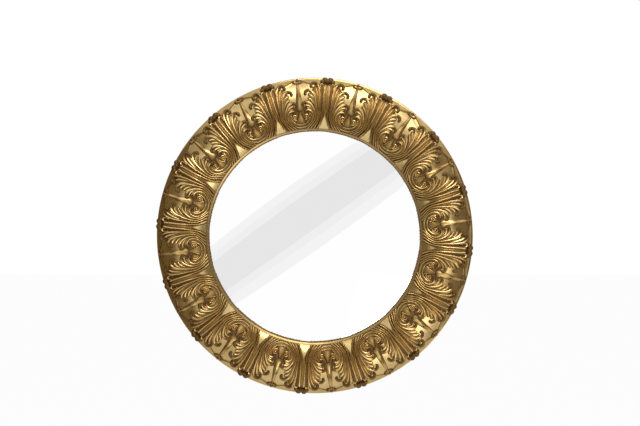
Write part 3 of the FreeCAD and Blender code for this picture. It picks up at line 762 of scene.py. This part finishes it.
def ring_rows(share):
    """The ring's section at one place in the pitch: (radius, depth, how bright it is painted) all
    the way round it.
    """
    edge = scallop_up(share)
    # The sight edge and the crease at the foot of the carving are painted dark: toning and painted
    # shade, as in the other recesses.
    rows = [(SIGHT_RADIUS, LIP_TOP, 0.1), (SIGHT_RADIUS + 0.6, LIP_TOP + 1.1, 0.5),
            (CARVED_RADIUS - 1.6, BEVEL_TOP - 2.4, 0.5),
            (CARVED_RADIUS - 0.3, BEVEL_TOP - 0.3, 0.1)]
    ups = [edge * k / 22 for k in range(22)] + [edge - 2.6, edge - 1.7, edge - 1.0, edge - 0.4]
    for up in ups:
        to_edge = edge - up
        lift = panel_lift(share, up) + BEAD * math.exp(-((to_edge - 1.2) / 0.8) ** 2)
        radius = CARVED_RADIUS + up
        lean = lean_at(radius)
        # A dark line is painted just inside the scalloped edge, as the shadow of the panel's raised
        # edge.
        rubbed_and_lit = ground_rubbed_and_lit(share, up) - 0.8 * math.exp(-((to_edge - 0.4) / 1.7) ** 2)
        rows.append((radius + lift * lean, face_depth(radius) + lift * math.sqrt(1 - lean * lean),
                     rubbed_and_lit))
    # The groove outside the scalloped edge is painted dark, as the panel edge's shadow.
    for up, rubbed_and_lit in ((edge + 0.25, 0.0), (edge + 2.6, 0.0), (edge + 4.4, 0.75)):
        radius = min(CARVED_RADIUS + up, FACE_RADIUS)
        rows.append((radius, face_depth(radius), rubbed_and_lit))
    last = rows[-1][0]
    for k in range(1, 6):
        radius = last + (FACE_RADIUS + 0.001 - last) * k / 5
        rows.append((radius, face_depth(radius), 0.85))
    for k in range(1, 5):
        turn = math.pi / 2 * k / 4
        rows.append((FACE_RADIUS + RIM_EASING * math.sin(turn),
                     RIM_DEPTH - RIM_EASING * (1 - math.cos(turn)), 0.85))
    # The outer edge is painted darker towards the back.
    rows += [(RIM_RADIUS, 5.0, 0.6), (RIM_RADIUS, 0.6, 0.4), (RIM_RADIUS - 0.6, 0.0, 0.3),
             (REBATE_RADIUS + 0.5, 0.0, 0.3), (REBATE_RADIUS, 0.5, 0.3),
             (REBATE_RADIUS, REBATE_DEPTH, 0.3), (SIGHT_RADIUS, REBATE_DEPTH, 0.3)]
    return rows


def moulding_ring():
    verts, rubbed_and_lit = [], []
    for c in range(COLUMNS + 1):
        share = c / COLUMNS - 0.5
        for radius, depth, high in ring_rows(share):
            verts.append(at_angle(share * PITCH, radius, depth))
            rubbed_and_lit.append(high)
    faces = woven(0, COLUMNS + 1, len(ring_rows(0.0)))
    ring = piece_from("moulding_ring", verts, faces, rubbed_and_lit, 40)
    repeat(ring, LEAF_COUNT, FIRST_LEAF_ANGLE, gilt_ring, join_within=2e-5)
    ring.data.materials.append(raw_wood)
    for face in ring.data.polygons:
        centre = face.center / MM
        inside = math.hypot(centre.x, centre.z) < REBATE_RADIUS + 0.3
        if centre.y > -0.5 or inside and centre.y > -REBATE_DEPTH - 0.1:
            face.material_index = 1
    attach(ring, "mirror")
    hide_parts("frame_ring")


moulding_ring()


# ---- convex glass ----
glass_low, glass_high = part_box("convex_glass")
GLASS_RADIUS = glass_high[0] / MM
GLASS_APEX = -glass_low[1] / MM
GLASS_THICKNESS = 3.0
GLASS_RISE = 28.0
GLASS_SPHERE = crest_arc(GLASS_RADIUS, GLASS_RISE)
GLASS_SEGMENTS = 160
GROUND_EDGE = 0.6
POLE = 0.02  # the radius at which the turned shell ends, on the axis


def convex_glass():
    """Front dome, ground edge and silvered back as one closed turned shell."""
    centre, rim = GLASS_APEX - GLASS_SPHERE, GLASS_RADIUS - GROUND_EDGE
    inner = GLASS_SPHERE - GLASS_THICKNESS
    front = [(radius, centre + math.sqrt(GLASS_SPHERE ** 2 - radius ** 2))
             for radius in (POLE + (rim - POLE) * k / 24 for k in range(25))]
    back = [(radius, centre + math.sqrt(inner ** 2 - radius ** 2))
            for radius in (rim + (POLE - rim) * k / 12 for k in range(13))]
    section = front + [(GLASS_RADIUS, front[-1][1] - 0.5), (GLASS_RADIUS, back[0][1] + 0.5)] + back
    verts = []
    for s in range(GLASS_SEGMENTS):
        turn = 2 * math.pi * s / GLASS_SEGMENTS
        verts += [(radius * math.sin(turn) * MM, -depth * MM, radius * math.cos(turn) * MM)
                  for radius, depth in section]
    faces = woven(0, GLASS_SEGMENTS, len(section), closed=True)
    glass = piece_from("mirror_glass", verts, faces, None, 35)
    glass.data.materials.append(silvered.material)
    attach(glass, "mirror")
    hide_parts("convex_glass")


convex_glass()

# ---- back: finishes of the plain pieces, and the fittings ----
felt = worn("grey_felt", (0.045, 0.045, 0.05, 1), (0.09, 0.09, 0.09, 1), 0.9, 1.0, tooth=2600.0,
            bump=0.0003)
softwood = wooden("sawn_softwood", (0.78, 0.58, 0.34, 1), (0.52, 0.33, 0.15, 1), 0.65)
board = wooden("brown_board", (0.36, 0.235, 0.135, 1), (0.21, 0.125, 0.065, 1), 0.55, 0.0001)
steel = worn("zinc_plated_steel", (0.50, 0.51, 0.50, 1), (0.41, 0.42, 0.41, 1), 0.30, 0.42, 1.0)
rubber = worn("black_rubber", (0.018, 0.018, 0.019, 1), (0.06, 0.06, 0.058, 1), 0.55, 0.8,
              bump=0.0001)
for node, finish in (("glazing_strip", felt), ("packing_blocks", softwood),
                     ("backing_board", board)):
    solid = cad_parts[node]
    solid.data.materials.clear()
    solid.data.materials.append(finish)


PAN_RADIUS, PAN_EDGE, PAN_CROWN = 3.75, 0.7, 1.5
CROSS_RADIUS, CROSS_DEPTH, CROSS_HALF = 2.2, 1.3, 0.5
SHANK_RADIUS, SHANK_DEPTH = 1.75, 14.0


class Fitting:
    """Closed parts of one fitting, in millimetres, with y from the mirror's back to the wall."""

    def __init__(self):
        self.verts, self.faces = [], []

    def skin(self, rows, closed=False):
        """Joins rows of points, with a cap at each end unless the rows run round to the first."""
        start, wide, count = len(self.verts), len(rows[0]), len(rows)
        for row in rows:
            self.verts += [(x * MM, y * MM, z * MM) for x, y, z in row]
        self.faces += woven(start, count, wide, closed)
        if not closed:
            self.faces += capped(start, count, wide)

    def turned(self, x, z, profile, segments=40, dip=None):
        """A part turned about an axis square to the back; dip sinks points of it."""
        rows = []
        for radius, y in profile:
            row = []
            for k in range(segments):
                way = 2 * math.pi * k / segments
                u, v = radius * math.cos(way), radius * math.sin(way)
                row.append((x + u, y - (dip(u, v) if dip else 0.0), z + v))
            rows.append(row)
        self.skin(rows)

    def screw(self, x, z, seat, turn):
        """A pan-head screw with a cross recess."""
        def cross(u, v):
            a = u * math.cos(turn) + v * math.sin(turn)
            b = v * math.cos(turn) - u * math.sin(turn)
            reach = math.hypot(u, v) / CROSS_RADIUS
            in_arm = reach < 1 and min(abs(a), abs(b)) < CROSS_HALF
            return CROSS_DEPTH * (1 - reach ** 2) if in_arm else 0.0
        self.turned(x, z, [(1.2, -SHANK_DEPTH), (SHANK_RADIUS, 1.5 - SHANK_DEPTH),
                           (SHANK_RADIUS, seat + 0.1)], 16)
        rim = [(3.2, seat), (3.7, seat + 0.25), (PAN_RADIUS, seat + PAN_EDGE)]
        crown = [(r, seat + PAN_EDGE + PAN_CROWN * math.sqrt(1 - (r / PAN_RADIUS) ** 2))
                 for r in (3.6, 3.3, 2.9, 2.5, 2.25, 2.1, 1.9, 1.6, 1.3, 1.05, 0.8, 0.6, 0.3, 0.05)]
        self.turned(x, z, rim + crown, 72, cross)

    def piece(self, name, finish, body, node, slot, smooth_angle=35):
        obj = piece_from(name, self.verts, self.faces, None, smooth_angle)
        obj.data.materials.append(finish)
        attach(obj, body)
        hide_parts(node)


def rounded_outline(x0, x1, half, corner, inset):
    """A round-cornered oblong in plan, drawn in by inset."""
    points = []
    for cx, cz, first in ((x1 - corner, half - corner, 0), (x0 + corner, half - corner, 90),
                          (x0 + corner, corner - half, 180), (x1 - corner, corner - half, 270)):
        for k in range(7):
            way = math.radians(first + 15 * k)
            points.append((cx + (corner - inset) * math.cos(way),
                           cz + (corner - inset) * math.sin(way)))
    return points


BUTTON_COUNT = 6
BUTTON_PIVOT = REBATE_RADIUS + 12.0
BUTTON_CORNER = 3.0
button_low, button_high = (np.array(corner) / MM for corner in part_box("turn_button_1"))
button_screws = Fitting()
for n in range(BUTTON_COUNT):
    turn = 2 * math.pi * n / BUTTON_COUNT
    button = Fitting()
    rows = []
    for y, inset in ((button_low[1], 0.3), (button_low[1] + 0.3, 0.0), (button_high[1] - 0.4, 0.0),
                     (button_high[1] - 0.1, 0.15), (button_high[1], 0.5)):
        outline = rounded_outline(button_low[0], button_high[0], button_high[2], BUTTON_CORNER,
                                  inset)
        rows.append([(x * math.cos(turn) - z * math.sin(turn), y,
                      x * math.sin(turn) + z * math.cos(turn)) for x, z in outline])
    button.skin(rows)
    button.piece("pressed_turn_button_%d" % (n + 1), steel, "turn_button_%d" % (n + 1),
                 "turn_button_%d" % (n + 1), "plated_steel")
    button_screws.screw(BUTTON_PIVOT * math.cos(turn), BUTTON_PIVOT * math.sin(turn),
                        button_high[1] + 0.1, 0.4 + 1.1 * n)
button_screws.piece("button_pan_screws", steel, "mirror", "turn_button_screws", "plated_steel")

# hangers: a strap folded round the D-ring's bar, two screws through both layers
HANGER_X, HANGER_Y, HANGER_Z = 260.49, 2.4, 182.397
SHEET = 0.8
STRAP_HALF = 7.0
STRAP_CORNER = 3.0
STRAP_FOOT = HANGER_Z - 35.0
FOLD_STEPS = 14
WIRE = 1.5
WIRE_SIDES = 16


def hanger_strap(side, name):
    """A strip of sheet from its middle line, up the back layer, round the bar and down again."""
    middle = [(SHEET / 2, STRAP_FOOT + d) for d in (0.0, 0.2, 0.6, 1.2, 2.0, 3.0, 9.0, 30.0)]
    turn_radius = HANGER_Y - SHEET / 2
    middle += [(HANGER_Y - turn_radius * math.cos(a), HANGER_Z + turn_radius * math.sin(a))
               for a in (math.pi * k / FOLD_STEPS for k in range(FOLD_STEPS + 1))]
    middle += [(4.2, HANGER_Z - 1.6), (3.2, HANGER_Z - 3.4), (2.0, HANGER_Z - 5.0),
               (1.35, HANGER_Z - 6.4), (1.5 * SHEET, HANGER_Z - 8.0)]
    middle += [(1.5 * SHEET, STRAP_FOOT + d) for d in (9.0, 3.0, 2.0, 1.2, 0.6, 0.2, 0.0)]
    line = np.array(middle)
    ways = np.gradient(line, axis=0)
    ways /= np.linalg.norm(ways, axis=1)[:, None]
    rows = []
    for (y, z), (way_y, way_z) in zip(line, ways):
        near_foot = max(0.0, STRAP_CORNER - (z - STRAP_FOOT))
        half = STRAP_HALF - STRAP_CORNER + math.sqrt(max(0.0, STRAP_CORNER ** 2 - near_foot ** 2))
        rows.append([(side * HANGER_X + x, y - way_z * t, z + way_y * t)
                     for x, t in ((-half, -0.25), (-half + 0.15, -0.4), (half - 0.15, -0.4),
                                  (half, -0.25), (half, 0.25), (half - 0.15, 0.4),
                                  (-half + 0.15, 0.4), (-half, 0.25))])
    strap = Fitting()
    strap.skin(rows)
    strap.piece(name + "_folded_strap", steel, "mirror", name + "_hanger_strap", "plated_steel", 50)


def hanger_ring(side, name):
    """A D-ring of round wire, leaning in a little towards the moulding."""
    half, shoulder, corner = 10.0, 6.0, 2.6
    path = [(-half + corner + (2 * half - 2 * corner) * k / 6, 0.0) for k in range(6)]
    path += [(half - corner + corner * math.sin(a), corner - corner * math.cos(a))
             for a in (math.pi / 2 * k / 6 for k in range(7))]
    path += [(half * math.cos(a), shoulder + half * math.sin(a))
             for a in (math.pi * k / 28 for k in range(29))]
    path += [(-half + corner - corner * math.cos(a), corner - corner * math.sin(a))
             for a in (math.pi / 2 * k / 6 for k in range(6))]
    line = np.array(path)
    ways = np.roll(line, -1, axis=0) - np.roll(line, 1, axis=0)
    ways /= np.linalg.norm(ways, axis=1)[:, None]
    lean = math.radians(2.0)
    rows = []
    for (x, up), (way_x, way_up) in zip(line, ways):
        row = []
        for k in range(WIRE_SIDES):
            a = 2 * math.pi * k / WIRE_SIDES
            across, rise = x - way_up * WIRE * math.cos(a), up + way_x * WIRE * math.cos(a)
            out = WIRE * math.sin(a)
            row.append((side * HANGER_X + across,
                        HANGER_Y + out * math.cos(lean) - rise * math.sin(lean),
                        HANGER_Z + rise * math.cos(lean) + out * math.sin(lean)))
        rows.append(row)
    ring = Fitting()
    ring.skin(rows, closed=True)
    ring.piece(name + "_wire_ring", steel, name + "_ring", name + "_hanger_ring", "plated_steel")


hanger_screws = Fitting()
for side, name in ((1, "right"), (-1, "left")):
    hanger_strap(side, name)
    hanger_ring(side, name)
    for n, below in enumerate((9.0, 26.0)):
        hanger_screws.screw(side * HANGER_X, HANGER_Z - below, 2 * SHEET + 0.1,
                            0.7 * side + 1.9 * n)
hanger_screws.piece("hanger_pan_screws", steel, "mirror", "hanger_screws", "plated_steel")

pads = Fitting()
pad_low, pad_high = (np.array(corner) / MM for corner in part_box("wall_pads"))
PAD_RADIUS = (pad_high[2] - pad_low[2]) / 2
for side in (1, -1):
    profile = [(0.93, 0.0), (1.0, 0.05), (1.0, 0.25), (0.94, 0.75), (0.87, 0.9), (0.72, 0.985),
               (0.5, 1.0), (0.34, 0.99), (0.28, 0.93), (0.26, 0.72), (0.05, 0.70)]
    pads.turned(side * (pad_high[0] - PAD_RADIUS), pad_low[2] + PAD_RADIUS,
                [(share * PAD_RADIUS, height * pad_high[1]) for share, height in profile], 48)
pads.piece("rubber_bumpers", rubber, "mirror", "wall_pads", "black_rubber")

# ---- studio ----
PIXELS = (640, 426)
LENS, SENSOR = 60.0, 36.0
TARGET = Vector((0, -0.020, 0))
AZIMUTH, ELEVATION = 1.0, 3.5
OUTLINE_CENTRE = (314.35, 237.2)
OUTLINE_RADIUS = 158.7
WHITE = (1, 1, 1, 1)
FILL_STRENGTH = 0.5
FLOOR_HALF, FLOOR_LEVEL = 12.0, -1.25
FLOOR_WHITENESS = 0.96


def camera():
    """Places the camera so that the mirror's outline has the photograph's centre and radius."""
    data = bpy.data.cameras.new("camera")
    data.lens, data.sensor_width = LENS, SENSOR
    distance = RIM_RADIUS * MM * LENS / (SENSOR * OUTLINE_RADIUS / PIXELS[0])
    az, el = math.radians(AZIMUTH), math.radians(ELEVATION)
    way = Vector((math.sin(az) * math.cos(el), -math.cos(az) * math.cos(el), math.sin(el)))
    obj = bpy.data.objects.new("camera", data)
    obj.location = TARGET + way * distance
    obj.rotation_euler = (-way).to_track_quat("-Z", "Y").to_euler()
    data.shift_x = -(OUTLINE_CENTRE[0] - PIXELS[0] / 2) / PIXELS[0]
    data.shift_y = (OUTLINE_CENTRE[1] - PIXELS[1] / 2) / PIXELS[0]
    bpy.context.scene.collection.objects.link(obj)
    bpy.context.scene.camera = obj


camera()


def seen_directly(n, by_camera=1.0):
    """by_camera for camera rays, and 1 for mirror-like and see-through rays."""
    path = n.nodes.new("ShaderNodeLightPath")
    total = n.math("MULTIPLY", path.outputs["Is Camera Ray"], by_camera)
    for name in ("Is Glossy Ray", "Is Transmission Ray"):
        total = n.math("MAXIMUM", total, path.outputs[name])
    return total


def show_mixed(n, share, a, b, output):
    """Gives the output b for its share of the rays, and a for the rest."""
    blend = n.nodes.new("ShaderNodeMixShader")
    for socket, value in zip(blend.inputs, (share, a.outputs[0], b.outputs[0])):
        n.put(socket, value)
    n.put(n.nodes[output].inputs["Surface"], blend.outputs[0])


def studio_world():
    """A white room that lights the mirror with only a part of the white that is seen."""
    world = bpy.data.worlds.new("studio")
    world.use_nodes = True
    bpy.context.scene.world = world
    n = Nodes(world.node_tree)
    fill, white = n.nodes["Background"], n.nodes.new("ShaderNodeBackground")
    for light, strength in ((fill, FILL_STRENGTH), (white, 1.0)):
        light.inputs["Color"].default_value = WHITE
        light.inputs["Strength"].default_value = strength
    show_mixed(n, seen_directly(n), fill, white, "World Output")


studio_world()


def sheet(name, finish, centre, right, up):
    """A flat four-cornered sheet from its centre and its half extents."""
    centre, right, up = Vector(centre), Vector(right), Vector(up)
    mesh = bpy.data.meshes.new(name)
    mesh.from_pydata([centre + right * a + up * b for a, b in ((-1, -1), (1, -1), (1, 1), (-1, 1))],
                     [], [(0, 1, 2, 3)])
    mesh.materials.append(finish.material)
    obj = bpy.data.objects.new(name, mesh)
    bpy.context.scene.collection.objects.link(obj)
    return obj


def card(name, centre, right, up, colour):
    """A glowing card, seen only in what it lights and in reflections."""
    finish = Finish(name)
    finish.set(Base_Color=(0, 0, 0, 1), Roughness=0.9, Specular_IOR_Level=0.0,
               Emission_Color=(*colour, 1), Emission_Strength=1.0)
    obj = sheet(name, finish, centre, right, up)
    obj.visible_camera = False
    obj.visible_shadow = False


def floor():
    """A pale floor, left out of reflections so that the cards in front of it show whole."""
    finish = Finish("pale_floor")
    finish.set(Base_Color=(0.82, 0.81, 0.79, 1), Roughness=0.9)
    white = finish.nodes.new("ShaderNodeEmission")
    share = seen_directly(finish, FLOOR_WHITENESS)
    show_mixed(finish, share, finish.shader, white, "Material Output")
    obj = sheet("floor", finish, (0, 0, FLOOR_LEVEL), (FLOOR_HALF, 0, 0), (0, FLOOR_HALF, 0))
    obj.visible_glossy = False


floor()
card("dark_flag_left", (-1.25, 0.0, -0.1), (0, 1.5, 0), (0, 0, 1.1), (0.20, 0.15, 0.085))
card("dark_flag_right", (1.25, -0.7, -0.1), (0, 0.8, 0), (0, 0, 0.9), (0.15, 0.11, 0.06))


def soft_light(name, place, size, power, in_glass=True):
    """A rectangular light that faces the mirror's middle."""
    data = bpy.data.lights.new(name, "AREA")
    data.shape = "RECTANGLE"
    data.size, data.size_y = size
    data.energy = power
    obj = bpy.data.objects.new(name, data)
    obj.location = place
    obj.rotation_euler = (-Vector(place)).to_track_quat("-Z", "Y").to_euler()
    obj.visible_glossy = in_glass
    bpy.context.scene.collection.objects.link(obj)


soft_light("overhead_softbox", (0.5, -1.1, 2.0), (1.8, 0.9), 34)
soft_light("low_right_softbox", (0.9, -1.25, -0.85), (1.3, 0.8), 8)
soft_light("front_fill", (0.0, -3.4, 0.9), (1.6, 1.2), 17, in_glass=False)

# Three pale grey strips behind the camera: the domed glass shows them as one soft diagonal band.
BAND_DISTANCE, BAND_GAP = 3.3, 0.03
BAND_LENGTH = 5.0
BAND_SLOPE = math.radians(35.5)
REFLECTED_TURN = 0.002028  # radians that a ray's way back turns, for each millimetre on the glass
GLASS_TO_CARD = math.tan(REFLECTED_TURN) * BAND_DISTANCE / MM
BANDS = ((42, 92, 0.905), (45, 66, 0.87), (45, 45, 0.80))  # centre, half width, grey
along = Vector((math.cos(BAND_SLOPE), 0, math.sin(BAND_SLOPE)))
across_band = Vector((-math.sin(BAND_SLOPE), 0, math.cos(BAND_SLOPE)))
for n, (centre, half, grey) in enumerate(BANDS):
    middle = across_band * (centre * MM * GLASS_TO_CARD)
    middle.y = BAND_GAP * n - BAND_DISTANCE
    card("reflected_band_%d" % (n + 1), middle, along * BAND_LENGTH,
         across_band * (half * MM * GLASS_TO_CARD), (grey, grey, grey))

bpy.context.scene.view_settings.view_transform = "Standard"
